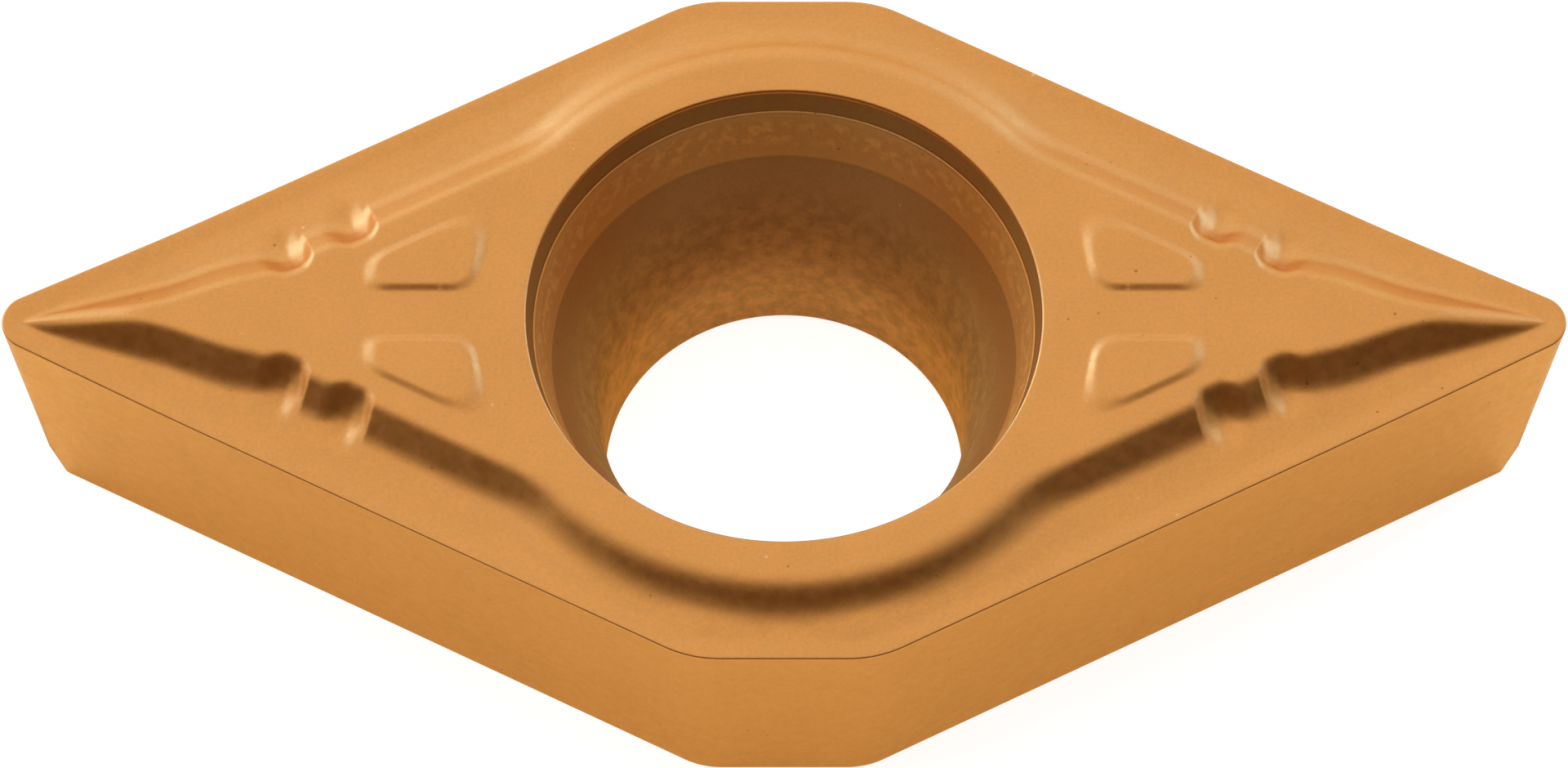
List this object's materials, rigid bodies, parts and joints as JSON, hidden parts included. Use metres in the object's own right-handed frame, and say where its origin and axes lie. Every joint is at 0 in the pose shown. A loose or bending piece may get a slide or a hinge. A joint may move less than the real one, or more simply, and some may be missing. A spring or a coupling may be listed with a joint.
{
  "type": "carbide insert",
  "caption": "Rhombic carbide turning insert with relieved flanks, a moulded chip breaker round its rake face and a countersunk screw hole.",
  "frame": {"origin": "Middle of the flat seating face, on the axis of the screw hole.", "axes": "+X runs from the hole to one cutting nose along the long diagonal, +Y along the short diagonal, and +Z out of the seating face up towards the rake face."},
  "size_m": [0.0196, 0.0096, 0.0042],
  "materials": {
    "coated_carbide": "Sintered cemented carbide under a thin hard coating, satin orange gold, finely mottled, with small dark pits and pale specks and a darker line along the cutting edges."
  },
  "bodies": {
    "root": {"insert_body": "coated_carbide"}
  },
  "joints": []
}
